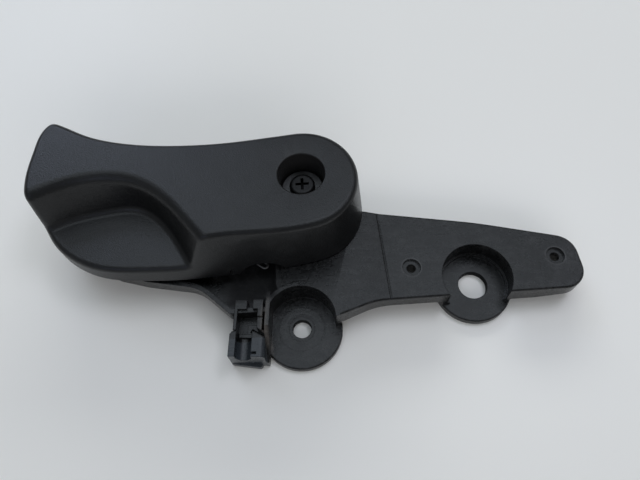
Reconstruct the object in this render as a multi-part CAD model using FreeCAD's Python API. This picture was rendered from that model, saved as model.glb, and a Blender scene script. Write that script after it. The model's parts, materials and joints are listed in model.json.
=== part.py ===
import FreeCAD, Part
import math
import os

# Hood release handle: a moulded lever that turns on a moulded bracket.
# Millimetres. It is drawn round the lever's pivot axis, with z = 0 at the underside of the two discs
# that the bracket is screwed down by. +X runs along the bracket's arm, +Z away from the car body.
# The exported pieces have their origin at the left fixing hole instead.

Vec = FreeCAD.Vector
UP = Vec(0, 0, 1)
past = 5.0                 # how far a cutting form runs past the face that it opens
beyond = 150.0             # outside the whole part, for forms that cut right across it
sunk = 0.5                 # how far a raised form runs into the one that carries it

# Lever, outside
lever_gap = 0.7            # between the skirt's foot and the bracket's shoulder
lever_height = 24.0
hub_radius = 20.1          # at the top; the skirt's draft widens it
hub_centre_y = -1.6
hub_draft_deg = 5.6
hub_front_deg = -80.0      # where the round hub runs out into the front edge
hub_back_deg = 96.0        # where it runs out into the back edge
lever_edge_round = 2.3
scoop_rim_round = 4.5
scoop_foot_round = 3.0
lever_wall = 2.4
lever_top_wall = 2.8

# Lever outline seen from above, left of the hub, in the order back, tip, end, front. Each point has
# its x, and its y from the hub's back for the back and tip, from its centre for the end, and from
# its front for the front.
back_points = [(-12.5, -0.8), (-26.0, -1.8), (-44.0, -1.7), (-65.0, 0.9), (-81.0, 6.2)]
tip_points = [(-90.3, 11.4), (-94.3, 12.5), (-97.0, 10.0)]
end_points = [(-99.5, 20.6), (-100.6, 10.1), (-99.2, -1.2)]
front_points = [(-95.2, 10.3), (-87.2, 2.3), (-74.6, -3.6), (-60.0, -5.5), (-44.0, -6.1), (-28.0, -5.6)]
front_lean = 4.6           # how much further in the front wall stands at the top, near the hub

# Finger scoop, as the curves of its wall at the rim and at the floor, with y from the hub's front
scoop_floor_height = 7.6
rim_points = [
    (-102.0, 17.6), (-90.2, 23.0), (-76.3, 26.0), (-63.0, 23.8), (-52.3, 17.4), (-43.0, 7.8), (-33.3, -3.7),
]
foot_points = [
    (-102.0, 11.9), (-87.0, 18.3), (-74.2, 20.7), (-62.8, 20.9), (-53.4, 14.6), (-46.0, 3.4), (-40.4, -7.8),
]

# Notch in the foot of the lever's skirt, over the cable
notch_left = -25.5
notch_right = -8.5
notch_height = 5.3

# Pivot: counterbore, washer, sleeve and screw
counterbore_radius = 8.4
counterbore_depth = 11.3
counterbore_edge = 0.6
washer_radius = 7.5
washer_thickness = 1.0
washer_gap = 0.25
sleeve_radius = 5.0
sleeve_bore_radius = 2.7
running_clearance = 0.06
screw_radius = 2.5
screw_length = 25.0
screw_head_radius = 4.7
screw_head_height = 3.0
screw_head_round = 1.35
screw_tip_chamfer = 0.5
screw_pilot_radius = 2.3
recess_width = 4.9
recess_slot = 1.0
recess_depth = 2.0
recess_deg = (0, 90)

# Post that carries the sleeve, and the hub tube that turns round the sleeve
post_rise = 3.0            # of the post over the floor of the spring's well
post_radius = 7.6
hub_tube_radius = 10.6
hub_foot_gap = 0.35

# Return spring, a coil round the post and the hub tube
spring_wire = 1.0
spring_clearance = 1.3     # between the coil and the hub tube
spring_turns = 3
spring_pitch = 1.25
spring_start_deg = 163.7   # where both legs leave the coil
spring_leg = 26.0
spring_upper_leg = 8.0
spring_hook = [(1.4, 68.0), (2.4,), (1.05, 180.0), (2.6,)]
spring_post_back = 2.0     # from the post to the end of the lower leg
spring_post_radius = 1.5
spring_lug_radius = 1.5    # on the lever, beside the upper leg
spring_lug_back = 1.0      # from the lug to the end of the upper leg
spring_gap = 0.3

# Ribs and cable hook under the lever
rib_thickness = 1.8
rib_depth = 7.0
rib_x = (-30.0, -52.0, -74.0)
rib_y = 9.0
grip_rib_x = (-60.0, -78.0)    # under the finger scoop
grip_rib_depth = 2.5
hook_centre = (-23.2, -7.2)
hook_radius = 5.2
hook_bore_radius = 2.7
hook_slot_width = 2.0
hook_drop = 1.0            # below the skirt's foot
hook_depth = 6.0

# Bracket heights
arm_top = 12.0
arm_bottom_right = 3.9
arm_bottom_left = 5.7
shoulder_top = 14.0
disc_thickness = 2.8
disc_edge_round = 0.6
plate_wall = 2.4
side_wall = 2.2
arm_edge_round = 0.8

# Bracket, seen from above
arm_far_hub = (22.9, -2.4)
arm_far_middle = (66.0, -10.4)
arm_far_tip = (101.6, -19.7)
arm_toe = (103.3, -40.0)
arm_front_left = 25.0
arm_far_round = 200.0      # of the slight bow in the far edge
arm_tip_round = 8.5
arm_toe_round = 8.0
arm_lift_x = 85.0          # from here the underside rises towards the toe
arm_lift_deg = 10.0
arm_sweep_round = 30.0
crease_x = 29.0
crease_round = 4.0
ramp_deg = 8.0
shoulder_rise_y = -19.0    # from here the shoulder climbs towards the left cup
shoulder_rise_deg = 2.4
arm_rib_x = (20.0, 46.0, 80.0)
shoulder_left = -12.2
shoulder_front = (8.0, -46.4)
shoulder_corner = 14.0     # length of its flat corner behind the left cup, each way
shoulder_corner_round = 2.0
split_far_x = 20.0         # the arm's top edges are rounded right of a line from here
split_front_x = 10.5       # to here, beside the left cup

# Fixing cups
left_cup = (-3.8, -46.0)
left_cup_radius = 12.8
left_disc_radius = 15.3
left_hole_radius = 3.5
left_cup_top = 14.7
left_wall_start = 2.0      # behind the cup's centre, where the round wall begins
left_rib_far = 12.0        # behind the cup's centre, where the straight rib begins
left_rib_level = 1.0       # before the cup's centre, where the rib starts to slope down
left_rib_low = 5.1
left_rib_x = -16.0         # outer side of the straight rib beside the conduit clip
cup_wall = 1.6
right_cup = (62.8, -33.0)
right_cup_radius = 13.1
right_disc_radius = 14.7
right_hole_radius = 5.5
ledge_width = 0.9
ledge_height = 1.2

# Small screw holes in the arm
small_hole_left = (38.8, -27.8)
small_hole_right = (93.3, -26.9)
small_hole_radius = 1.7
small_seat_radius = 3.45
small_seat_depth = 1.1
small_boss_radius = 4.4
small_boss_length = 8.0
skirt_overlap = 4.0        # of the deeper skirt, left of the right cup's centre

# Tray under the lever
tray_floor = 8.7
tray_floor_wall = 2.0
tray_lip_top = 12.7
tray_lip_wall = 1.9
tray_left = -78.0
tray_left_round = 9.0
tray_back = 11.0
tray_front_points = [(-78.0, -21.6), (-60.9, -26.7), (-41.2, -30.6), (-29.6, -41.6)]
tray_front_round = 16.0
tray_inner_round = 1.0
peg_centre = (-52.0, 3.0)
peg_radius = 6.0
peg_bore_radius = 3.8
tray_rib_ends = [(-17.0, 0.0), (-26.0, -38.0), (-75.0, -12.0), (-72.0, 8.0)]
tray_rib_low = 2.7

# Tower under the hub
tower_wall = 3.2
tower_bottom = 1.0
well_clearance = 2.3       # round the coil
well_depth = 1.3           # below the shoulder
leg_channel_width = 2.8
tower_rib_deg = (30, 90, 150)

# Clip for the end of the cable's conduit, drawn square and then leaned over
clip_lean_deg = 4.8
clip_left = -27.2
clip_right = -16.9
clip_back = -37.2
clip_top = 13.9
prong_top = 14.7
prong_depth = 3.6
cable_slot_x = -21.7
cable_slot_width = 2.3
cable_slot_rise = 1.2      # of the slot's floor over the pocket's
pocket_left = -26.1
pocket_right = -18.7
pocket_length = 7.8
pocket_floor = 6.9
pocket_step_width = 4.0    # of the raised floor at the pocket's right
pocket_step_length = 3.6
pocket_step_rise = 1.3
step_length = 2.8          # of the raised stub in front of the right prong
saddle_left = -28.4
saddle_front = -58.0
saddle_top = 12.9
saddle_round = 1.8         # of its edge beside the cup's rib
saddle_x = -23.2
saddle_radius = 2.9
saddle_z = 10.6
bridge_depth = 1.4         # the low wall between the pocket and the saddle
bridge_rise = 1.1
waist_depth = 1.2
slit_middle = (-18.4, -48.7)
slit_length = 6.6
slit_width = 1.5
slit_deg = -28.0
latch_slot = (-20.4, -57.0)
latch_slot_length = 2.0
latch_slot_width = 0.9
latch_slot_depth = 2.5
clip_core_wall = 1.6
clip_foot = [(-17.0, -59.4), (-28.1, -58.2), (-30.0, -54.9), (-30.0, -46.0), (-17.0, -40.0)]
clip_foot_bottom = 0.7
clip_foot_height = 2.5
clip_foot_round = 1.0

# Sizes that follow
lever_foot = shoulder_top + lever_gap
lever_top = lever_foot + lever_height
scoop_floor = lever_foot + scoop_floor_height
hub_back_y = hub_centre_y + hub_radius
hub_front_y = hub_centre_y - hub_radius
hook_foot = lever_foot - hook_drop
well_floor = shoulder_top - well_depth
post_top = well_floor + post_rise
spring_radius = hub_tube_radius + spring_clearance + spring_wire / 2
spring_bottom = well_floor + spring_gap + spring_wire / 2
well_radius = spring_radius + spring_wire / 2 + well_clearance
tower_radius = well_radius + tower_wall
counterbore_floor = lever_top - counterbore_depth
washer_bottom = counterbore_floor + washer_gap
screw_seat = washer_bottom + washer_thickness


def export(name, shape):
    shape.translate(Vec(-left_cup[0], -left_cup[1], 0))
    shape.exportStep("parts/" + name + ".step")


def cylinder(centre, radius, low, high):
    return Part.makeCylinder(radius, high - low, Vec(centre[0], centre[1], low), UP)


def block(x_low, y_low, z_low, x_high, y_high, z_high):
    return Part.makeBox(x_high - x_low, y_high - y_low, z_high - z_low, Vec(x_low, y_low, z_low))


def prism(wire, low, high):
    face = Part.Face(wire)
    face.translate(Vec(0, 0, low))
    return face.extrude(Vec(0, 0, high - low))


def joined(shapes):
    return shapes[0].fuse(shapes[1:]).removeSplitter()


def line(start, end):
    return Part.LineSegment(start, end).toShape()


def rounded_outline(corners):
    # Closed outline of straight runs, with a tangent arc of the given radius at each corner.
    points = [Vec(x, y, 0) for x, y, radius in corners]
    count = len(points)
    arcs = []
    for i in range(count):
        before = (points[i - 1] - points[i]).normalize()
        after = (points[(i + 1) % count] - points[i]).normalize()
        half = before.getAngle(after) / 2
        radius = corners[i][2]
        reach = radius / math.tan(half)
        inward = (before + after).normalize()
        middle = points[i] + inward * (radius / math.sin(half) - radius)
        arcs.append((points[i] + before * reach, middle, points[i] + after * reach))
    edges = []
    for i in range(count):
        start, middle, end = arcs[i]
        if corners[i][2] > 0:
            edges.append(Part.Arc(start, middle, end).toShape())
        following = arcs[(i + 1) % count][0]
        if (following - end).Length > 0.001:
            edges.append(line(end, following))
    return Part.Wire(edges)


def edges_where(shape, test):
    return [edge for edge in shape.Edges if test(edge)]


def lies_at_height(edge, height):
    return abs(edge.BoundBox.ZMin - height) < 0.01 and abs(edge.BoundBox.ZMax - height) < 0.01


# Lever


def lever_outline(z, inset):
    # Round hub and one smooth curve for the rest; the front wall and the hub lean in with height.
    rise = (z - lever_foot) / lever_height
    radius = hub_radius + lever_height * math.tan(math.radians(hub_draft_deg)) * (1 - rise) - inset
    front = math.radians(hub_front_deg)
    back = math.radians(hub_back_deg)

    def on_hub(angle):
        return Vec(radius * math.cos(angle), hub_centre_y + radius * math.sin(angle), z)

    hub = Part.Arc(on_hub(front), on_hub((front + back) / 2), on_hub(back)).toShape()
    rest = [Vec(x, hub_back_y + y, z) for x, y in back_points + tip_points]
    rest += [Vec(x, hub_centre_y + y, z) for x, y in end_points]
    far = end_points[-1][0]
    near = front_points[-1][0]
    for x, y in front_points:
        share = (x - far) / (near - far)
        rest.append(Vec(x, hub_front_y + y + front_lean * share * rise, z))
    points = [on_hub(back)] + rest + [on_hub(front)]
    if inset > 0:
        points = [points[0]] + moved_in(points, inset) + [points[-1]]
    curve = Part.BSplineCurve()
    leaving = Vec(-math.sin(back), math.cos(back), 0)
    arriving = Vec(-math.sin(front), math.cos(front), 0)
    curve.interpolate(Points=points, InitialTangent=leaving, FinalTangent=arriving)
    return Part.Wire([hub, curve.toShape()])


def moved_in(points, distance):
    # The inner points of an anticlockwise run, each moved to the left of the way that it runs.
    moved = []
    for i in range(1, len(points) - 1):
        along = (points[i + 1] - points[i - 1]).normalize()
        moved.append(points[i] + Vec(-along.y, along.x, 0) * distance)
    return moved


def scoop_outline(points, z, outset):
    # The scoop's wall as a smooth curve, closed by straight runs outside the lever.
    ends = [Vec(x, hub_front_y + y, z) for x, y in points]
    if outset > 0:
        before = ends[0] * 2 - ends[1]
        after = ends[-1] * 2 - ends[-2]
        ends = moved_in([before] + ends + [after], outset)
    curve = Part.BSplineCurve()
    curve.interpolate(Points=ends)
    outside_x = ends[0].x - past
    outside_y = ends[-1].y - 4 * past
    corners = [ends[-1], Vec(ends[-1].x, outside_y, z), Vec(outside_x, outside_y, z)]
    corners.append(Vec(outside_x, ends[0].y, z))
    corners.append(ends[0])
    edges = [curve.toShape()]
    for i in range(len(corners) - 1):
        edges.append(line(corners[i], corners[i + 1]))
    return Part.Wire(edges)


def scoop_space(outset):
    foot = scoop_outline(foot_points, scoop_floor - outset, outset)
    rim = scoop_outline(rim_points, lever_top, outset)
    return Part.makeLoft([foot, rim], True, True)


def touches(edge, point):
    return edge.distToShape(Part.Vertex(point))[0] < 0.05


def lever_body():
    # The scoop's two curved edges are rounded more softly than the rest.
    body = Part.makeLoft([lever_outline(lever_foot, 0), lever_outline(lever_top, 0)], True, True)
    body = body.cut(scoop_space(0))
    rim_x, rim_y = rim_points[len(rim_points) // 2]
    foot_x, foot_y = foot_points[len(foot_points) // 2]
    rim = Vec(rim_x, hub_front_y + rim_y, lever_top)
    foot = Vec(foot_x, hub_front_y + foot_y, scoop_floor)
    others = edges_where(body, lambda e: e.BoundBox.ZMin > lever_foot + lever_edge_round)
    others = [e for e in others if not touches(e, rim) and not touches(e, foot)]
    marks = [e.valueAt((e.FirstParameter + e.LastParameter) / 2) for e in others]
    body = body.makeFillet(scoop_rim_round, edges_where(body, lambda e: touches(e, rim)))
    body = body.makeFillet(scoop_foot_round, edges_where(body, lambda e: touches(e, foot)))
    crisp = edges_where(body, lambda e: any(touches(e, mark) for mark in marks))
    return body.makeFillet(lever_edge_round, crisp)


def lever_cavity():
    low = lever_outline(lever_foot, lever_wall)
    high = lever_outline(lever_top, lever_wall)
    space = Part.makeLoft([low, high], True, True)
    ceiling = block(-beyond, -beyond, lever_top - lever_top_wall, beyond, beyond, lever_top + past)
    return space.cut([ceiling, scoop_space(lever_wall)])


def lever_ribs():
    left = -beyond
    right = beyond
    far = beyond
    ceiling = lever_top - lever_top_wall + sunk
    low = ceiling - rib_depth
    half = rib_thickness / 2
    ribs = [block(x - half, -far, low, x + half, far, ceiling) for x in rib_x]
    ribs.append(block(left, rib_y - half, low, 0, rib_y + half, ceiling))
    ribs.append(block(-half, 0, low, half, far, ceiling))
    ribs.append(block(0, -half, low, right, half, ceiling))
    for x in grip_rib_x:
        floor = scoop_floor - lever_wall
        ribs.append(block(x - half, -far, floor - grip_rib_depth, x + half, 0, floor + sunk))
    return joined(ribs)


def cable_hook(ceiling):
    # A lug that holds the nipple on the cable's end, slotted for the cable on its front side.
    lug = cylinder(hook_centre, hook_radius, hook_foot, ceiling)
    x, y = hook_centre
    bore = cylinder(hook_centre, hook_bore_radius, hook_foot - past, hook_foot + hook_depth)
    slot = block(x - hook_slot_width / 2, y - 3 * hook_radius, hook_foot - past,
                 x + hook_slot_width / 2, y, hook_foot + hook_depth)
    return lug.cut([bore, slot])


def spring_lug(ceiling):
    # The spring's upper leg bears on this lug.
    angle = math.radians(spring_start_deg)
    out = Vec(math.cos(angle), math.sin(angle), 0)
    leg_end = out * spring_radius - spring_leg_way() * (spring_upper_leg - spring_lug_back)
    centre = leg_end + out * (spring_wire / 2 + spring_gap + spring_lug_radius)
    foot = spring_bottom + spring_turns * spring_pitch - spring_wire
    return cylinder((centre.x, centre.y), spring_lug_radius, foot, ceiling)


def skirt_notch():
    # A low arch through the front of the skirt.
    left = Vec(notch_left, -beyond, lever_foot)
    right = Vec(notch_right, -beyond, lever_foot)
    crown = Vec((notch_left + notch_right) / 2, -beyond, lever_foot + notch_height)
    arch = Part.Wire([Part.Arc(left, crown, right).toShape(), line(right, left)])
    return Part.Face(arch).extrude(Vec(0, beyond + hub_centre_y - hub_tube_radius, 0))


def lever():
    cavity = lever_cavity()
    ceiling = lever_top - lever_top_wall + sunk
    tube_foot = post_top + hub_foot_gap
    tube = cylinder((0, 0), hub_tube_radius, tube_foot, ceiling)
    inside = joined([tube, lever_ribs().common(cavity), spring_lug(ceiling)])
    shell = joined([lever_body().cut(cavity.cut(inside)), cable_hook(ceiling)])
    counterbore = cylinder((0, 0), counterbore_radius, counterbore_floor, lever_top + past)
    bore = cylinder((0, 0), sleeve_radius + running_clearance, tube_foot - past, lever_top)
    lead = Part.makeCone(
        counterbore_radius, counterbore_radius + counterbore_edge, counterbore_edge,
        Vec(0, 0, lever_top - counterbore_edge), UP,
    )
    return shell.cut([counterbore, bore, lead, skirt_notch()]).removeSplitter()


# Pivot hardware


def washer():
    ring = cylinder((0, 0), washer_radius, washer_bottom, screw_seat)
    return ring.cut(cylinder((0, 0), sleeve_bore_radius, washer_bottom - past, screw_seat + past))


def pivot_sleeve():
    tube = cylinder((0, 0), sleeve_radius, post_top, washer_bottom)
    return tube.cut(cylinder((0, 0), sleeve_bore_radius, post_top - past, washer_bottom + past))


def pivot_screw():
    top = screw_seat + screw_head_height
    shank = cylinder((0, 0), screw_radius, screw_seat - screw_length, screw_seat + sunk)
    head = cylinder((0, 0), screw_head_radius, screw_seat, top)
    head = head.makeFillet(screw_head_round, edges_where(head, lambda e: lies_at_height(e, top)))
    half = recess_width / 2
    floor = top - recess_depth
    slots = []
    for turn in recess_deg:
        slot = block(-half, -recess_slot / 2, floor, half, recess_slot / 2, top + past)
        slot.rotate(Vec(0, 0, 0), UP, turn)
        slots.append(slot)
    screw = joined([shank, head]).cut(slots)
    tip = edges_where(screw, lambda e: lies_at_height(e, screw_seat - screw_length))
    return screw.makeChamfer(screw_tip_chamfer, tip)


def half_turn(start_angle, z):
    # Half of one turn as a tilted half ring, so that each turn climbs by the pitch.
    middle = Vec(0, 0, z + spring_pitch / 4)
    start = Vec(spring_radius * math.cos(start_angle), spring_radius * math.sin(start_angle), z)
    way = Vec(math.sin(start_angle), -math.cos(start_angle), 0)
    section = Part.Face(Part.Wire(Part.makeCircle(spring_wire / 2, start, way)))
    return section.revolve(middle, (start - middle).cross(way), 180)


def wire_run(start, way, steps):
    # Round wire that lies level: straight steps (length) and bends (radius, degrees to the left).
    solids = []
    point = start
    for step in steps:
        if len(step) == 1:
            solids.append(Part.makeCylinder(spring_wire / 2, step[0], point, way))
            point = point + way * step[0]
            continue
        radius, turn = step
        centre = point + Vec(-way.y, way.x, 0) * radius
        section = Part.Face(Part.Wire(Part.makeCircle(spring_wire / 2, point, way)))
        solids.append(section.revolve(centre, UP, turn))
        turning = FreeCAD.Rotation(UP, turn)
        point = centre + turning.multVec(point - centre)
        way = turning.multVec(way)
    return solids


def spring_leg_way():
    angle = math.radians(spring_start_deg)
    return Vec(-math.sin(angle), math.cos(angle), 0)


def return_spring():
    # The lower leg hooks on the bracket, and the upper leg bears on a lug of the lever.
    angle = math.radians(spring_start_deg)
    out = Vec(math.cos(angle), math.sin(angle), 0)
    solids = []
    for turn in range(spring_turns):
        z = spring_bottom + turn * spring_pitch
        solids.append(half_turn(angle, z))
        solids.append(half_turn(angle + math.pi, z + spring_pitch / 2))
    lower = out * spring_radius + Vec(0, 0, spring_bottom)
    solids += wire_run(lower, spring_leg_way(), [(spring_leg,)] + spring_hook)
    upper = out * spring_radius + Vec(0, 0, spring_bottom + spring_turns * spring_pitch)
    solids += wire_run(upper, spring_leg_way() * -1, [(spring_upper_leg,)])
    return solids[0].fuse(solids[1:])


# Bracket


def arm_outline():
    far_slope = (arm_far_hub[1] - arm_far_middle[1]) / (arm_far_middle[0] - arm_far_hub[0])
    far_left = arm_far_hub[1] + (arm_far_hub[0] - shoulder_left) * far_slope
    return rounded_outline([
        (arm_far_tip[0], arm_far_tip[1], arm_tip_round),
        (arm_far_middle[0], arm_far_middle[1], arm_far_round),
        (shoulder_left, far_left, 0),
        (shoulder_left, shoulder_front[1] + shoulder_corner, shoulder_corner_round),
        (shoulder_front[0] - shoulder_corner, shoulder_front[1], 0),
        (shoulder_front[0], shoulder_front[1], 0),
        (arm_front_left, arm_toe[1], arm_sweep_round),
        (arm_toe[0], arm_toe[1], arm_toe_round),
    ])


def arm_block(outline, low, lowered):
    # Everything under the arm's top faces: level, then a ramp, then the shoulder by the left cup.
    left = -beyond
    right = beyond
    far = beyond
    near = -beyond
    level = arm_top - lowered
    angle = math.radians(ramp_deg)
    climb = (crease_x - left) * math.tan(angle)
    reach = crease_round * math.tan(angle / 2)
    bend_right = Vec(crease_x + reach, near, level)
    bend_left = Vec(crease_x - reach * math.cos(angle), near, level + reach * math.sin(angle))
    centre = bend_right + Vec(0, 0, crease_round)
    bend_middle = centre - Vec(math.sin(angle / 2), 0, math.cos(angle / 2)) * crease_round
    corners = [bend_left, Vec(left, near, level + climb), Vec(left, near, low), Vec(right, near, low)]
    corners += [Vec(right, near, level), bend_right]
    edges = [Part.Arc(bend_right, bend_middle, bend_left).toShape()]
    for start, end in zip(corners, corners[1:]):
        edges.append(line(start, end))
    ramp = Part.Face(Part.Wire(edges)).extrude(Vec(0, far - near, 0))
    rise = (shoulder_rise_y - near) * math.tan(math.radians(shoulder_rise_deg))
    shoulder = Part.Face(Part.makePolygon([
        Vec(left, far, low),
        Vec(left, far, shoulder_top - lowered),
        Vec(left, shoulder_rise_y, shoulder_top - lowered),
        Vec(left, near, shoulder_top - lowered + rise),
        Vec(left, near, low),
        Vec(left, far, low),
    ])).extrude(Vec(right - left, 0, 0))
    return prism(outline, low, 2 * shoulder_top).common(ramp).common(shoulder)


def split_x(y):
    return split_far_x + (split_front_x - split_far_x) * y / shoulder_front[1]


def along_split(edge):
    return all(abs(v.Point.x - split_x(v.Point.y)) < 0.01 for v in edge.Vertexes)


def arm():
    # The top edges that follow the outline are rounded, but not those across the arm.
    whole = arm_block(arm_outline(), arm_bottom_left, 0)
    corners = [(split_x(-beyond), -beyond), (beyond, -beyond), (beyond, beyond), (split_x(beyond), beyond)]
    corners.append(corners[0])
    region = prism(Part.makePolygon([Vec(x, y, 0) for x, y in corners]), 0, 2 * shoulder_top)
    outer = whole.common(region)
    rim = edges_where(outer, lambda e: e.BoundBox.ZMin > arm_top - 0.01 and e.BoundBox.XLength > 0.01)
    rim = [e for e in rim if not along_split(e)]
    return joined([outer.makeFillet(arm_edge_round, rim), whole.cut(region)])


def arm_skirt():
    # From the right cup on, the arm's side walls reach lower, and rise again towards the toe.
    left = right_cup[0] - skirt_overlap
    top = arm_bottom_left + sunk
    lifted_x = arm_lift_x + (top - arm_bottom_right) / math.tan(math.radians(arm_lift_deg))
    side = Part.makePolygon([
        Vec(left, -beyond, arm_bottom_right),
        Vec(arm_lift_x, -beyond, arm_bottom_right),
        Vec(lifted_x, -beyond, top),
        Vec(left, -beyond, top),
        Vec(left, -beyond, arm_bottom_right),
    ])
    return prism(arm_outline(), 0, arm_top).common(Part.Face(side).extrude(Vec(0, 2 * beyond, 0)))


def cup_walls():
    # The wells' walls go down to the discs wherever the arm is above them.
    left = cylinder(left_cup, left_cup_radius + cup_wall, sunk, arm_bottom_left + sunk)
    right = cylinder(right_cup, right_cup_radius + cup_wall, sunk, arm_bottom_left + sunk)
    under = prism(arm_outline(), 0, arm_top)
    return [left.common(under), right.common(under)]


def fixing_disc(centre, radius):
    disc = cylinder(centre, radius, 0, disc_thickness)
    return disc.makeFillet(disc_edge_round, edges_where(disc, lambda e: lies_at_height(e, disc_thickness)))


def leaned(shape):
    turned = shape.copy()
    turned.rotate(Vec(cable_slot_x, clip_back, 0), UP, -clip_lean_deg)
    return turned


def left_cup_wall():
    # Round wall on the far side of the cup.
    x, y = left_cup
    outer = left_cup_radius + cup_wall
    ring = cylinder(left_cup, outer, sunk, left_cup_top)
    return ring.common(block(left_rib_x, y + left_wall_start, 0, x, y + outer, left_cup_top))


def cup_rib():
    # Straight rib that runs down past the conduit clip to the edge of the disc.
    y = left_cup[1]
    low = sunk
    near = saddle_front
    profile = Part.makePolygon([
        Vec(left_rib_x, y + left_rib_far, low),
        Vec(left_rib_x, y + left_rib_far, left_cup_top),
        Vec(left_rib_x, y - left_rib_level, left_cup_top),
        Vec(left_rib_x, near, left_rib_low),
        Vec(left_rib_x, near, low),
        Vec(left_rib_x, y + left_rib_far, low),
    ])
    return leaned(Part.Face(profile).extrude(Vec(cup_wall, 0, 0)))


def tray_outline():
    corners = [(tray_left, tray_back, tray_left_round)]
    corners.append((tray_left, tray_front_points[0][1], tray_left_round))
    corners.append((tray_front_points[1][0], tray_front_points[1][1], tray_front_round))
    corners.append((tray_front_points[2][0], tray_front_points[2][1], tray_front_round))
    corners.append((tray_front_points[3][0], tray_front_points[3][1], tray_inner_round))
    corners.append((shoulder_left + sunk, tray_front_points[3][1], 0))
    corners.append((shoulder_left + sunk, tray_back, 0))
    return rounded_outline(corners)


def tray():
    outline = tray_outline()
    dish = prism(outline, tray_floor - tray_floor_wall, tray_lip_top)
    inside = outline.makeOffset2D(-tray_lip_wall)
    hollow = prism(inside, tray_floor, tray_lip_top + past)
    open_side = block(shoulder_left - past, tray_front_points[3][1] + tray_lip_wall, tray_floor,
                      shoulder_left + past, tray_back - tray_lip_wall, tray_lip_top + past)
    return dish.cut([hollow, open_side])


def tower():
    return cylinder((0, 0), tower_radius, tower_bottom, shoulder_top)


def conduit_clip():
    # Two prongs with a slot for the cable, a pocket for the ferrule, and a saddle for the conduit.
    low = clip_foot_bottom
    pocket_back = clip_back - prong_depth
    pocket_front = pocket_back - pocket_length
    walls = block(clip_left, pocket_front, low, clip_right, clip_back, clip_top)
    prong = block(cable_slot_x, pocket_back, low, clip_right, clip_back, prong_top)
    stub = block(pocket_right - sunk, pocket_back - step_length, low, clip_right, clip_back, prong_top)
    foot = rounded_outline([(x, y, clip_foot_round) for x, y in clip_foot])
    foot = prism(foot, low, low + clip_foot_height)
    solid = joined([walls, prong, stub, saddle(pocket_front), foot])
    pocket = block(pocket_left, pocket_front, pocket_floor, pocket_right, pocket_back, prong_top + past)
    raised = block(pocket_right - pocket_step_width, pocket_front, pocket_floor,
                   pocket_right, pocket_front + pocket_step_length, pocket_floor + pocket_step_rise)
    slot = block(
        cable_slot_x - cable_slot_width / 2, pocket_back - past, pocket_floor + cable_slot_rise,
        cable_slot_x + cable_slot_width / 2, clip_back + past, prong_top + past,
    ).cut(raised)
    core = block(clip_left + clip_core_wall, saddle_front + clip_core_wall, low - past,
                 clip_right - clip_core_wall, clip_back - clip_core_wall, pocket_floor - clip_core_wall)
    solid = solid.cut([pocket.cut(raised), slot, core] + clip_slits())
    return leaned(solid)


def saddle(back):
    # The seat that the conduit lies in, with a low bridge across it beside the pocket.
    right = left_rib_x + sunk
    outline = Part.makePolygon([
        Vec(saddle_left, saddle_front, 0),
        Vec(right, saddle_front, 0),
        Vec(right, back + sunk, 0),
        Vec(pocket_left, back + sunk, 0),
        Vec(saddle_left, back - waist_depth, 0),
        Vec(saddle_left, saddle_front, 0),
    ])
    seat = prism(outline, clip_foot_bottom, saddle_top)
    side = edges_where(seat, lambda e: lies_at_height(e, saddle_top) and e.BoundBox.XMin > right - 0.01)
    seat = seat.makeFillet(saddle_round, side)
    start = Vec(saddle_x, saddle_front - past, saddle_z)
    length = back + 2 * sunk - start.y
    groove = Part.makeCylinder(saddle_radius, length, start, Vec(0, 1, 0))
    mouth = block(saddle_x - saddle_radius, start.y, saddle_z,
                  saddle_x + saddle_radius, start.y + length, saddle_top + past)
    bridge = block(saddle_x - saddle_radius, back - bridge_depth, clip_foot_bottom,
                   saddle_x + saddle_radius, back, saddle_z - saddle_radius + bridge_rise)
    return seat.cut([groove, mouth]).fuse(bridge)


def clip_slits():
    # A slanted slit that frees the pocket's right wall, and a small slot at the saddle's front.
    slit = block(-slit_length / 2, -slit_width / 2, pocket_floor,
                 slit_length / 2, slit_width / 2, prong_top + past)
    slit.rotate(Vec(0, 0, 0), UP, slit_deg)
    slit.translate(Vec(slit_middle[0], slit_middle[1], 0))
    x, y = latch_slot
    latch = block(x, y, saddle_top - latch_slot_depth,
                  x + latch_slot_length, y + latch_slot_width, saddle_top + past)
    return [slit, latch]


def tray_stays():
    # The hollow foot under the tray, and ribs that run from it to the tower, the clip and the end.
    foot = cylinder(peg_centre, peg_radius, 0, tray_floor - tray_floor_wall + sunk)
    half = rib_thickness / 2
    stays = [foot]
    for x, y in tray_rib_ends:
        run = math.hypot(x - peg_centre[0], y - peg_centre[1])
        rib = block(0, -half, tray_rib_low, run, half, tray_floor - tray_floor_wall + sunk)
        turn = math.degrees(math.atan2(y - peg_centre[1], x - peg_centre[0]))
        rib.rotate(Vec(0, 0, 0), UP, turn)
        rib.translate(Vec(peg_centre[0], peg_centre[1], 0))
        stays.append(rib)
    return stays


def posts():
    # The pivot's post, and the pin that the spring's lower leg bears on.
    angle = math.radians(spring_start_deg)
    out = Vec(math.cos(angle), math.sin(angle), 0)
    along = out * spring_radius + spring_leg_way() * (spring_leg - spring_post_back)
    pin = along + out * (spring_wire / 2 + spring_gap + spring_post_radius)
    pin = cylinder((pin.x, pin.y), spring_post_radius, tray_floor - sunk, spring_bottom + spring_wire)
    return [cylinder((0, 0), post_radius, 0, post_top), pin]


def small_bosses():
    return [
        cylinder(hole, small_boss_radius, arm_top - small_boss_length, arm_top - plate_wall + sunk)
        for hole in (small_hole_left, small_hole_right)
    ]


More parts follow.
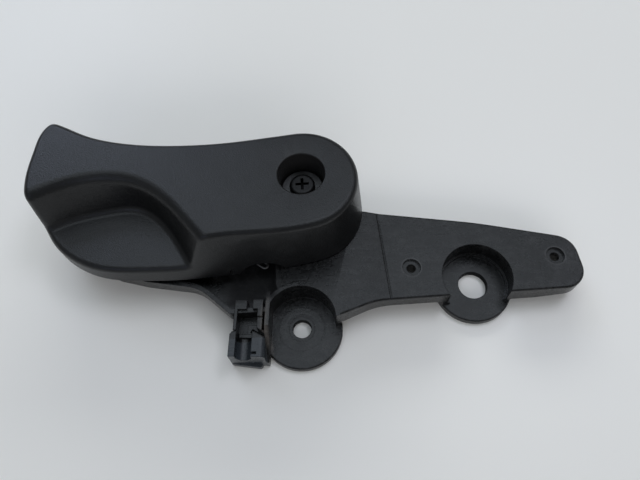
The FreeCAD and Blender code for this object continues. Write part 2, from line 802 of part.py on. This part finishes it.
def under_arm():
    # Open space inside the arm's walls, less the ribs, bosses and cup walls that stand in it.
    inner = arm_outline().makeOffset2D(-side_wall)
    space = arm_block(inner, 0, plate_wall)
    half = rib_thickness / 2
    kept = [
        cylinder(left_cup, left_cup_radius + cup_wall, 0, shoulder_top),
        cylinder(right_cup, right_cup_radius + cup_wall, 0, arm_top),
        cylinder((0, 0), tower_radius, 0, shoulder_top),
    ]
    for x in arm_rib_x:
        kept.append(block(x - half, -beyond, arm_bottom_left, x + half, beyond, shoulder_top))
    for a, b in (((0, -tower_radius), right_cup), (right_cup, small_hole_right)):
        length = math.hypot(b[0] - a[0], b[1] - a[1])
        rib = block(0, -half, arm_bottom_left, length, half, shoulder_top)
        rib.rotate(Vec(0, 0, 0), UP, math.degrees(math.atan2(b[1] - a[1], b[0] - a[0])))
        rib.translate(Vec(a[0], a[1], 0))
        kept.append(rib)
    for hole in (small_hole_left, small_hole_right):
        kept.append(cylinder(hole, small_boss_radius, arm_top - small_boss_length, shoulder_top))
    return space.cut(kept)


def under_tower():
    space = cylinder((0, 0), tower_radius - side_wall, tower_bottom - past, well_floor - plate_wall)
    half = rib_thickness / 2
    kept = [cylinder((0, 0), post_radius, tower_bottom - past, well_floor)]
    for turn in tower_rib_deg:
        rib = block(-tower_radius, -half, tower_bottom, tower_radius, half, well_floor)
        rib.rotate(Vec(0, 0, 0), UP, turn)
        kept.append(rib)
    return space.cut(kept)


def spring_well():
    well = cylinder((0, 0), well_radius, well_floor, post_top + past)
    well = well.cut(cylinder((0, 0), post_radius, 0, post_top))
    way = spring_leg_way()
    half = leg_channel_width / 2
    leg_channel = block(0, -half, well_floor, spring_leg, half, shoulder_top + past)
    leg_channel.rotate(Vec(0, 0, 0), UP, math.degrees(math.atan2(way.y, way.x)))
    angle = math.radians(spring_start_deg)
    leg_channel.translate(Vec(spring_radius * math.cos(angle), spring_radius * math.sin(angle), 0))
    return [well, leg_channel]


def cup_wells():
    left = cylinder(left_cup, left_cup_radius, disc_thickness, left_cup_top + past)
    left = left.cut(leaned(block(-beyond, -beyond, 0, left_rib_x + cup_wall, beyond, beyond)))
    ledge = right_cup_radius - ledge_width
    right = cylinder(right_cup, right_cup_radius, disc_thickness + ledge_height, arm_top + past)
    low = cylinder(right_cup, ledge, disc_thickness, arm_top + past)
    return [left, right, low]


def bores():
    holes = [
        cylinder(left_cup, left_hole_radius, -past, disc_thickness + past),
        cylinder(right_cup, right_hole_radius, -past, disc_thickness + past),
        cylinder((0, 0), screw_pilot_radius, -past, post_top + past),
        cylinder(peg_centre, peg_bore_radius, -past, tray_floor - tray_floor_wall),
    ]
    for hole in (small_hole_left, small_hole_right):
        holes.append(cylinder(hole, small_hole_radius, -past, arm_top + past))
        holes.append(cylinder(hole, small_seat_radius, arm_top - small_seat_depth, arm_top + past))
    return holes


def base_bracket():
    discs = [fixing_disc(left_cup, left_disc_radius), fixing_disc(right_cup, right_disc_radius)]
    solid = joined([arm(), arm_skirt(), tower()] + discs)
    solid = solid.cut([under_arm(), under_tower()] + spring_well())
    raised = [left_cup_wall(), cup_rib(), tray(), conduit_clip()]
    solid = joined([solid] + raised + tray_stays() + cup_walls() + posts() + small_bosses())
    return solid.cut(cup_wells() + bores()).removeSplitter()


os.makedirs("parts", exist_ok=True)
export("lever", lever())
export("washer", washer())
export("pivot_sleeve", pivot_sleeve())
export("pivot_screw", pivot_screw())
export("return_spring", return_spring())
export("base_bracket", base_bracket())
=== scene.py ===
import json
import math

import bmesh
import bpy
import numpy as np
from mathutils import Matrix, Vector

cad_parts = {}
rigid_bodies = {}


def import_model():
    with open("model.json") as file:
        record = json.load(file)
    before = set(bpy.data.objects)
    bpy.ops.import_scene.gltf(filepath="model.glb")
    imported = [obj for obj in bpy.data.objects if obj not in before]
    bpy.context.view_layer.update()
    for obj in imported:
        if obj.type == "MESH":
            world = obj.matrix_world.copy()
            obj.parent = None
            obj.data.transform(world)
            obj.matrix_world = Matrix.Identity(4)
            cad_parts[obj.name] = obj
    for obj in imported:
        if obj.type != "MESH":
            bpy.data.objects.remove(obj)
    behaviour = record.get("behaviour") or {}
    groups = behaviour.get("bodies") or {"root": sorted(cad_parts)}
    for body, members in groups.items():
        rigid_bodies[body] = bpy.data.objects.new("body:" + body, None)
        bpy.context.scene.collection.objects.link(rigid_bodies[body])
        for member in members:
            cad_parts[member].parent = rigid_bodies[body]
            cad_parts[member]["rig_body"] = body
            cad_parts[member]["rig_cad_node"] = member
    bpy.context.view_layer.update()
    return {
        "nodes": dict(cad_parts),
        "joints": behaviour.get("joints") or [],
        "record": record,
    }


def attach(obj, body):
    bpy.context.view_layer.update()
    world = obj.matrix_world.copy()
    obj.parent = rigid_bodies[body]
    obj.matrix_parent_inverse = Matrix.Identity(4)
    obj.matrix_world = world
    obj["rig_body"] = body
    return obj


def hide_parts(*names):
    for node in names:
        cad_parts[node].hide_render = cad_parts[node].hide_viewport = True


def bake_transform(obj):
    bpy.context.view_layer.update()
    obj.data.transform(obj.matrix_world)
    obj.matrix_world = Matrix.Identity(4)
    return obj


# Hood release handle: a black moulded lever that turns on a black moulded bracket.
# Metres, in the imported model's frame: the origin is on the axis of the left fixing hole, at the
# underside of its disc, +Z points away from the car body and +X runs along the bracket's arm.

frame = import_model()
nodes = frame["nodes"]
print("frame loaded:", ", ".join(sorted(nodes)))

mm = 0.001
pivot = Vector(frame["joints"][0]["pos_m"])
holes = {mount["name"]: mount for mount in frame["record"]["mounts"] if mount["kind"] == "bore"}


# Shader maths as Python expressions

class Sock:
    # A node socket that can be used in an expression

    def __init__(self, finish, link):
        self.finish = finish
        self.link = link

    def math(self, operation, *values):
        return self.finish.add("ShaderNodeMath", {"operation": operation}, self, *values)["Value"]

    def __add__(self, other):
        return self.math("ADD", other)

    def __radd__(self, other):
        return self.math("ADD", other)

    def __sub__(self, other):
        return self.math("SUBTRACT", other)

    def __rsub__(self, other):
        return self.finish.number(other).math("SUBTRACT", self)

    def __mul__(self, other):
        return self.math("MULTIPLY", other)

    def __rmul__(self, other):
        return self.math("MULTIPLY", other)

    def __truediv__(self, other):
        return self.math("DIVIDE", other)

    def __rtruediv__(self, other):
        return self.finish.number(other).math("DIVIDE", self)

    def __abs__(self):
        return self.math("ABSOLUTE")

    def clamp(self):
        return self.math("MAXIMUM", 0.0).math("MINIMUM", 1.0)

    def rise(self, low, high):
        # 0 below low, 1 above high, and smooth between them
        return self.finish.add(
            "ShaderNodeMapRange", {"interpolation_type": "SMOOTHSTEP"}, self, low, high, 0.0, 1.0)["Result"]

    def fall(self, low, high):
        return 1 - self.rise(low, high)

    def band(self, middle, width):
        # 1 at the middle of a band and 0 past its edges
        return abs(self - middle).fall(0.0, width)


class Outputs:
    # The outputs of a node, by name

    def __init__(self, finish, node):
        self.finish = finish
        self.node = node

    def __getitem__(self, name):
        return Sock(self.finish, self.node.outputs[name])


class Finish:
    # A material and the nodes in it. Its x, y and z are the place on the part in millimetres.

    def __init__(self, name):
        self.material = bpy.data.materials.new(name)
        self.material.use_nodes = True
        self.nodes = self.material.node_tree.nodes
        self.links = self.material.node_tree.links
        self.shader = self.nodes["Principled BSDF"]
        self.place = self.add("ShaderNodeTexCoord", {})["Object"]
        parts = self.add("ShaderNodeSeparateXYZ", {}, self.place)
        self.x, self.y, self.z = (parts[axis] / mm for axis in "XYZ")

    def put(self, socket, value):
        if isinstance(value, Sock):
            self.links.new(value.link, socket)
        elif value is not None:
            socket.default_value = value

    def add(self, kind, settings, *values, **named):
        node = self.nodes.new(kind)
        for key, value in settings.items():
            setattr(node, key, value)
        for socket, value in zip(node.inputs, values):
            self.put(socket, value)
        for key, value in named.items():
            self.put(node.inputs[key.replace("_", " ")], value)
        return Outputs(self, node)

    def number(self, value):
        return self.add("ShaderNodeMath", {"operation": "ADD"}, value, 0.0)["Value"]

    def noise(self, scale, detail, roughness, place=None):
        return self.add("ShaderNodeTexNoise", {}, Vector=place or self.place, Scale=scale,
                        Detail=detail, Roughness=roughness)["Fac"]

    def stretched(self, scale, turn=0.0):
        return self.add("ShaderNodeMapping", {}, self.place, Scale=scale,
                        Rotation=(0.0, 0.0, turn))["Vector"]

    def spots(self, scale):
        # Distance to the nearest of a scatter of points
        return self.add("ShaderNodeTexVoronoi", {}, Vector=self.place, Scale=scale)["Distance"]

    def mix(self, factor, first, second):
        # A Mix node has more sockets of each name, and these are the ones for colours
        factorSocket, firstSocket, secondSocket, colourSocket = 0, 6, 7, 2
        node = self.add("ShaderNodeMix", {"data_type": "RGBA"}).node
        self.put(node.inputs[factorSocket], factor)
        self.put(node.inputs[firstSocket], first)
        self.put(node.inputs[secondSocket], second)
        return Sock(self, node.outputs[colourSocket])

    def awayFrom(self, axis):
        # Distance in millimetres from an upright axis through a place in metres
        along = self.x - axis[0] / mm
        across = self.y - axis[1] / mm
        return (along * along + across * across).math("SQRT")

    def softEdge(self, radius):
        # A normal that is rounded over sharp edges, as moulded and turned edges are
        return self.add("ShaderNodeBevel", {"samples": 6}, radius)["Normal"]

    def bump(self, height, distance, normal, strength=0.6):
        return self.add("ShaderNodeBump", {}, Strength=strength, Distance=distance,
                        Height=height, Normal=normal)["Normal"]

    def surface(self, **values):
        for key, value in values.items():
            self.put(self.shader.inputs[key.replace("_", " ")], value)
        return self.material


def grey(value, warm=0.0):
    return (value * (1 + warm), value, value * (1 - warm), 1.0)


# In the finishes, tones are linear, depths and edges are in metres, a noise's scale is its number of
# grains in a metre, and places, radii and heights are in millimetres. Two numbers are mostly where a
# change begins and where it is complete.


# Lever: satin black with a fine grain, and dusty inside the counterbore

leverLook = dict(
    dark=grey(0.0045, -0.06), light=grey(0.0085, -0.04), roughness=0.34, edge=0.4 * mm,
    cloud=dict(scale=60.0, detail=5.0, roughness=0.6), cloudy=(0.35, 0.7), cloudRough=0.12,
    pebble=dict(scale=1300.0, detail=3.0, roughness=0.65), pebbleDepth=0.09 * mm, pebbleRough=0.25,
    grain=dict(scale=2600.0, detail=2.0, roughness=0.6), cells=2080.0, cellShare=0.4, grainDepth=0.12 * mm,
    bore=(8.6, 9.0), boreTone=grey(0.016, 0.02))


def leverPlastic():
    look = leverLook
    finish = Finish("leverPlastic")
    cloud = finish.noise(**look["cloud"])
    pebble = finish.noise(**look["pebble"])
    grain = finish.noise(**look["grain"]) * (1 - look["cellShare"])
    cells = finish.spots(look["cells"]) * look["cellShare"]
    pebbled = finish.bump(pebble, look["pebbleDepth"], finish.softEdge(look["edge"]))
    normal = finish.bump(grain + cells, look["grainDepth"], pebbled)
    colour = finish.mix(cloud.rise(*look["cloudy"]), look["dark"], look["light"])
    colour = finish.mix(finish.awayFrom(pivot).rise(*look["bore"]), look["boreTone"], colour)
    rough = look["roughness"] + (cloud - 0.5) * look["cloudRough"] + (pebble - 0.5) * look["pebbleRough"]
    return finish.surface(Base_Color=colour, Roughness=rough, Normal=normal)


# Bracket: satin black, scuffed by use. A ring or a rim has its radius and its half width, the rings
# that make marks also their height, and the crease is placed from the pivot.

bracketLook = dict(
    dark=grey(0.0025, -0.05), light=grey(0.017), chalky=(0.46, 0.66), edge=0.4 * mm,
    roughness=0.29, flowRough=0.3, scuffRough=0.3,
    grain=dict(scale=2400.0, detail=2.0, roughness=0.6), grainDepth=0.10 * mm,
    scuff=dict(scale=620.0, detail=5.0, roughness=0.7), scuffy=(0.3, 0.6),
    flow=dict(scale=1.0, detail=5.0, roughness=0.65), flowScale=(90.0, 420.0, 420.0), flowTurn=0.25,
    flowShare=0.4, wornDepth=0.22 * mm,
    dust=dict(scale=160.0, detail=6.0, roughness=0.75), dusty=(0.3, 0.6),
    crease=dict(start=28.1, lean=-0.045, width=0.6, height=(11.0, 11.5), depth=0.16 * mm),
    rings=((4.8, 0.5, 1.0), (6.0, 0.6, -1.0), (8.4, 0.7, 0.6)), ringDepth=0.10 * mm,
    seats=("small_hole_left", "small_hole_right"), seatRim=(3.7, 0.5), seatTone=grey(0.035),
    rib=dict(ring=(13.3, 2.4), right=(-11.6, -10.4), tone=grey(0.065, 0.14)),
    saddle=dict(right=(-13.3, -12.8), back=(-5.5, -5.0), tone=grey(0.030, -0.16)),
    tray=dict(left=(-31.0, -23.0), right=(-10.0, -6.0), front=(7.0, 10.0), roughness=0.45),
    dullBores=("left_fixing_hole", "right_fixing_hole"), boreWall=(0.1, 0.2))


def bracketNormal(finish, scuff, flow):
    look = bracketLook
    # The line across the arm where it bends
    crease = look["crease"]
    line = finish.x - pivot.x / mm - (finish.y - pivot.y / mm) * crease["lean"] - crease["start"]
    line = line.band(0.0, crease["width"]) * finish.z.rise(*crease["height"])
    bent = finish.bump(1 - line, crease["depth"], finish.softEdge(look["edge"]), 1.0)
    # The marks that screw heads left round the left fixing hole
    away = finish.awayFrom(holes["left_fixing_hole"]["pos_m"])
    marks = sum(away.band(radius, spread) * height for radius, spread, height in look["rings"])
    marked = finish.bump(marks * scuff.rise(*look["scuffy"]), look["ringDepth"], bent, 0.5)
    wear = scuff * (1 - look["flowShare"]) + flow * look["flowShare"]
    worn = finish.bump(wear, look["wornDepth"], marked)
    return finish.bump(finish.noise(**look["grain"]), look["grainDepth"], worn)


def bracketColour(finish, scuff, dust):
    look = bracketLook
    chalk = (dust * 0.5 + scuff * 0.5).rise(*look["chalky"])
    colour = finish.mix(chalk, look["dark"], look["light"])
    for name in look["seats"]:
        rim = finish.awayFrom(holes[name]["pos_m"]).band(*look["seatRim"])
        colour = finish.mix(rim, colour, look["seatTone"])
    # Dust on the rib between the clip and the left cup
    rib = look["rib"]
    away = finish.awayFrom(holes["left_fixing_hole"]["pos_m"])
    dustyRib = away.band(*rib["ring"]) * finish.x.fall(*rib["right"]) * dust.rise(*look["dusty"])
    colour = finish.mix(dustyRib, colour, rib["tone"])
    # Painted light: the clip's saddle is painted paler and bluer
    saddle = look["saddle"]
    onLitSaddle = finish.x.fall(*saddle["right"]) * finish.y.fall(*saddle["back"])
    return finish.mix(onLitSaddle, colour, saddle["tone"])


def bracketRoughness(finish, scuff, flow):
    look = bracketLook
    rough = look["roughness"] + (flow - 0.5) * look["flowRough"] + (scuff - 0.5) * look["scuffRough"]
    # The tray is rougher behind the clip, and so are the walls of the fixing holes
    tray = look["tray"]
    onTray = finish.x.rise(*tray["left"]) * finish.x.fall(*tray["right"]) * finish.y.rise(*tray["front"])
    rough = rough + onTray * tray["roughness"]
    inner, outer = look["boreWall"]
    for name in look["dullBores"]:
        radius = holes[name]["dims"]["r_mm"]
        rough = rough + finish.awayFrom(holes[name]["pos_m"]).fall(radius + inner, radius + outer)
    return rough.clamp()


def bracketPlastic():
    look = bracketLook
    finish = Finish("bracketPlastic")
    scuff = finish.noise(**look["scuff"])
    flow = finish.noise(**look["flow"], place=finish.stretched(look["flowScale"], look["flowTurn"]))
    dust = finish.noise(**look["dust"])
    return finish.surface(
        Base_Color=bracketColour(finish, scuff, dust), Roughness=bracketRoughness(finish, scuff, flow),
        Normal=bracketNormal(finish, scuff, flow))


# Plated steel, with turning marks. Below the rim of its driver's cross the screw is painted near black, as
# painted shade in the cross.

steelLook = dict(
    metallic=0.9, darkShare=0.7, cloudRough=0.2, edge=0.15 * mm, markDepth=0.02 * mm,
    cloud=dict(scale=300.0, detail=5.0, roughness=0.65), cloudy=(0.3, 0.75),
    turning=dict(scale=1.0, detail=2.0, roughness=0.5), turningScale=(300.0, 300.0, 6000.0),
    recess=(30.2, 31.2), recessTone=grey(0.002))
steelParts = dict(
    pivot_screw=dict(name="screwSteel", tone=0.03, roughness=0.42, shadedRecess=True),
    washer=dict(name="washerSteel", tone=0.11, roughness=0.42),
    pivot_sleeve=dict(name="sleeveSteel", tone=0.45, roughness=0.35),
    return_spring=dict(name="springSteel", tone=0.30, roughness=0.35))


def platedSteel(name, tone, roughness, shadedRecess=False):
    look = steelLook
    finish = Finish(name)
    cloud = finish.noise(**look["cloud"])
    turned = finish.noise(**look["turning"], place=finish.stretched(look["turningScale"]))
    colour = finish.mix(cloud.rise(*look["cloudy"]), grey(tone * look["darkShare"]), grey(tone))
    if shadedRecess:
        # Painted shade: the screw is near black below the rim of its driver's cross
        colour = finish.mix(finish.z.rise(*look["recess"]), look["recessTone"], colour)
    marks = turned * 0.5 + cloud * 0.5
    normal = finish.bump(marks, look["markDepth"], finish.softEdge(look["edge"]), 0.5)
    rough = roughness + (cloud - 0.5) * look["cloudRough"]
    return finish.surface(Base_Color=colour, Metallic=look["metallic"], Roughness=rough, Normal=normal)


finishes = {"lever": leverPlastic(), "base_bracket": bracketPlastic()}
for node, part in steelParts.items():
    finishes[node] = platedSteel(**part)
for node, material in finishes.items():
    nodes[node].data.materials.clear()
    nodes[node].data.materials.append(material)
print("finishes:", len(finishes))


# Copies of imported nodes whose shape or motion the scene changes

weldDistance = 0.001 * mm
faceWeight = 80  # how much the large faces keep their own direction


def mergedCopy(node, name):
    piece = nodes[node].copy()
    piece.data = nodes[node].data.copy()
    piece.name = name
    bpy.context.scene.collection.objects.link(piece)
    piece.parent = None
    piece.matrix_world = Matrix.Identity(4)
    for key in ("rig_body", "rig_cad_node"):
        if key in piece:
            del piece[key]
    shape = bmesh.new()
    shape.from_mesh(piece.data)
    bmesh.ops.remove_doubles(shape, verts=shape.verts, dist=weldDistance)
    shape.to_mesh(piece.data)
    shape.free()
    return piece


def smoothed(piece, angle):
    # Soft shading that keeps the flat faces flat and the edges over the angle sharp
    piece.data.shade_smooth()
    piece.data.set_sharp_from_angle(angle=math.radians(angle))
    even = piece.modifiers.new("even", "WEIGHTED_NORMAL")
    even.keep_sharp = True
    even.weight = faceWeight


# Return spring: a merged copy with soft shading, which stays where it is. Its ends don't follow the lever,
# and it doesn't wind up as the lever turns.

spring = dict(lowerEnd=1.2 * mm, upperEnd=0.9 * mm, sharpAngle=40.0)


def windingSpring():
    wire = mergedCopy("return_spring", "springWire")
    smoothed(wire, spring["sharpAngle"])
    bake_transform(wire)
    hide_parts("return_spring")


windingSpring()
print("spring done")


# Lever, with the front wall beside its hub drawn as one even curve. Places are in millimetres from the
# pivot, heights are above the floor, and a curve is given by the y and the slope of each end.

wall = dict(
    left=-34.5, right=-3.0, leftFade=1.5, rightFade=6.0, reach=0.12, sharpAngle=32.0,
    footHeight=14.7, foot=((-27.35, 0.05), (-24.90, 0.176)),
    headHeight=36.0, head=((-23.735, 0.09), (-22.62, 0.12)))


def ease(value):
    value = np.clip(value, 0.0, 1.0)
    return value * value * (3 - 2 * value)


def wallCurve(x, start, end):
    # The cubic in x that meets both ends, each given by its y and its slope
    length = wall["right"] - wall["left"]
    t = (x - wall["left"]) / length
    bow = t * (1 - t) * length * ((1 - t) * start[1] - t * end[1])
    return start[0] * (1 - ease(t)) + end[0] * ease(t) + bow


def evenLever():
    # The wall is straight in height between its foot curve and its head curve. What lies outside it, or
    # inside by less than the reach, is brought onto it, and that fades out at both ends.
    shell = mergedCopy("lever", "leverShell")
    points = np.empty(len(shell.data.vertices) * 3, dtype=np.float32)
    shell.data.vertices.foreach_get("co", points)
    points = points.reshape(-1, 3).astype(float)
    x, y = (points[:, 0] - pivot.x) / mm, (points[:, 1] - pivot.y) / mm
    z = points[:, 2] / mm
    up = (z - wall["footHeight"]) / (wall["headHeight"] - wall["footHeight"])
    even = wallCurve(x, *wall["foot"]) * (1 - up) + wallCurve(x, *wall["head"]) * up
    onWall = (x > wall["left"]) & (x < wall["right"]) & (z < wall["headHeight"])
    onWall &= (y < 0) & (y <= even + wall["reach"])
    share = ease((x - wall["left"]) / wall["leftFade"]) * ease((wall["right"] - x) / wall["rightFade"])
    points[onWall, 1] = pivot.y + (y + (even - y) * share)[onWall] * mm
    shell.data.vertices.foreach_set("co", points.astype(np.float32).ravel())
    shell.data.update()
    smoothed(shell, wall["sharpAngle"])
    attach(shell, "lever_body")
    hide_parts("lever")
    print("lever wall points moved:", int(onWall.sum()))


evenLever()


# Room: a pale floor, soft lamps and the camera. A lamp that isn't mirrored lights the floor and the
# dull parts, and leaves no shine.

room = dict(
    floor=(0.87, 0.853, 0.798, 1.0), size=3.0, refraction=1.4, roughness=0.32, sheenRough=0.1,
    sheen=dict(scale=3.0, detail=2.0, roughness=0.5), air=(0.93, 0.97, 1.0, 1.0), airStrength=0.18)
lamps = dict(
    ceilingLamp=dict(place=(0.02, 0.41, 1.2), aim=(0.02, 0.41, 0.0), size=(1.5, 0.98), power=4.25,
                     colour=(0.88, 0.98, 1.08)),
    rightLamp=dict(place=(0.58, 0.42, 1.2), aim=(0.58, 0.42, 0.0), size=(0.4, 0.5), power=2.5,
                   colour=(0.95, 0.96, 1.14)),
    windowLamp=dict(place=(-0.8, 1.3, 1.1), aim=(0.0, 0.04, 0.02), size=(0.8, 0.5), power=3.4,
                    colour=(0.84, 0.96, 1.22)),
    backLamp=dict(place=(0.1, 1.9, 0.8), aim=(0.0, 0.04, 0.0), size=(1.6, 0.5), power=16.0,
                  colour=(0.97, 1.0, 1.02), mirrored=False),
    frontLamp=dict(place=(0.3, -1.5, 0.8), aim=(0.0, -0.1, 0.0), size=(1.6, 0.6), power=9.5,
                   colour=(0.97, 0.97, 1.03), mirrored=False),
    leftLamp=dict(place=(-0.9, -1.2, 1.1), aim=(-0.04, 0.03, 0.03), size=(0.6, 0.5), power=0.9,
                  colour=(0.8, 0.9, 1.3)))


def paleFloor():
    half = room["size"] / 2
    corners = [(-half, -half, 0), (half, -half, 0), (half, half, 0), (-half, half, 0)]
    mesh = bpy.data.meshes.new("paleFloor")
    mesh.from_pydata(corners, [], [(0, 1, 2, 3)])
    floor = bpy.data.objects.new("paleFloor", mesh)
    bpy.context.scene.collection.objects.link(floor)
    finish = Finish("palePaint")
    rough = room["roughness"] + finish.noise(**room["sheen"]) * room["sheenRough"]
    paint = finish.surface(Base_Color=room["floor"], Roughness=rough, IOR=room["refraction"])
    mesh.materials.append(paint)


def softLamp(name, place, aim, size, power, colour, mirrored=True):
    lamp = bpy.data.lights.new(name, "AREA")
    lamp.shape = "RECTANGLE"
    lamp.size, lamp.size_y = size
    lamp.energy = power
    lamp.color = colour
    holder = bpy.data.objects.new(name, lamp)
    holder.location = place
    holder.rotation_euler = (Vector(aim) - Vector(place)).to_track_quat("-Z", "Y").to_euler()
    holder.visible_camera = False
    holder.visible_glossy = mirrored
    bpy.context.scene.collection.objects.link(holder)


def plainWorld():
    world = bpy.data.worlds.new("softRoom")
    world.use_nodes = True
    background = world.node_tree.nodes["Background"]
    background.inputs["Color"].default_value = room["air"]
    background.inputs["Strength"].default_value = room["airStrength"]
    bpy.context.scene.world = world


# The camera's place is in millimetres from the foot of the pivot's axis, its pitch and roll are in
# radians, its focal length and the picture's width in pixels, and its sensor in millimetres.
view = dict(
    place=(5.149, -113.635, 208.234), pitch=1.09955, roll=-0.067796,
    focal=568.336, width=640, sensor=36.0)


def photoCamera():
    data = bpy.data.cameras.new("photoCamera")
    data.sensor_fit = "HORIZONTAL"
    data.sensor_width = view["sensor"]
    data.lens = view["focal"] * view["sensor"] / view["width"]
    pitch, roll = view["pitch"], view["roll"]
    ahead = Vector((0.0, math.cos(pitch), -math.sin(pitch)))
    up = Vector((0.0, math.sin(pitch), math.cos(pitch)))
    right = Vector((1.0, 0.0, 0.0))
    rolledRight = right * math.cos(roll) + up * math.sin(roll)
    rolledUp = up * math.cos(roll) - right * math.sin(roll)
    camera = bpy.data.objects.new("photoCamera", data)
    axes = Matrix((rolledRight, rolledUp, -ahead)).transposed().to_4x4()
    place = Vector(view["place"]) * mm + Vector((pivot.x, pivot.y, 0.0))
    camera.matrix_world = Matrix.Translation(place) @ axes
    bpy.context.scene.collection.objects.link(camera)
    bpy.context.scene.camera = camera


paleFloor()
plainWorld()
for name, lamp in lamps.items():
    softLamp(name, **lamp)
photoCamera()
bpy.context.scene.view_settings.view_transform = "Standard"
print("room done")
